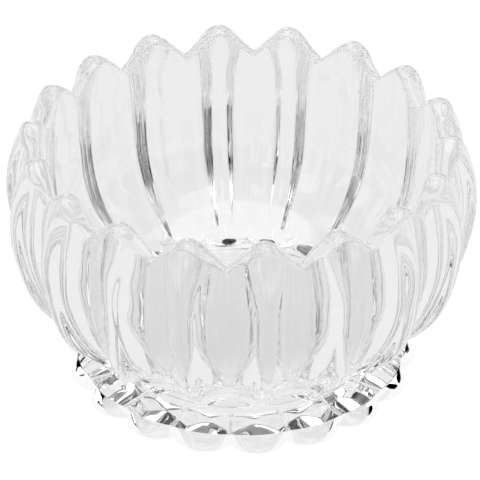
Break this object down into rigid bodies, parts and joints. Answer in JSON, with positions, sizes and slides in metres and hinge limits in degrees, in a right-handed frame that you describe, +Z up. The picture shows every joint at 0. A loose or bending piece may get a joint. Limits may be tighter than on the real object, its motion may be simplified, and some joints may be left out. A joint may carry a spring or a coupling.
{
  "type": "floating candle bowl",
  "caption": "Deep clear glass bowl with a fluted wall, rounded ridges and a scalloped rim on a round lobed foot, for floating candles in water.",
  "frame": {"origin": "centre of the flat ring that the foot rests on", "axes": "+Z up along the bowl's axis; one ridge of the wall lies on the -Y side"},
  "size_m": [0.1966, 0.1996, 0.1134],
  "materials": {
    "bowl_glass": "clear colourless pressed crystal, fire polished",
    "foot_glass": "clear colourless pressed crystal, fire polished, ground flat on the resting ring"
  },
  "bodies": {
    "root": {"bowl": "bowl_glass", "foot": "foot_glass"}
  },
  "joints": []
}
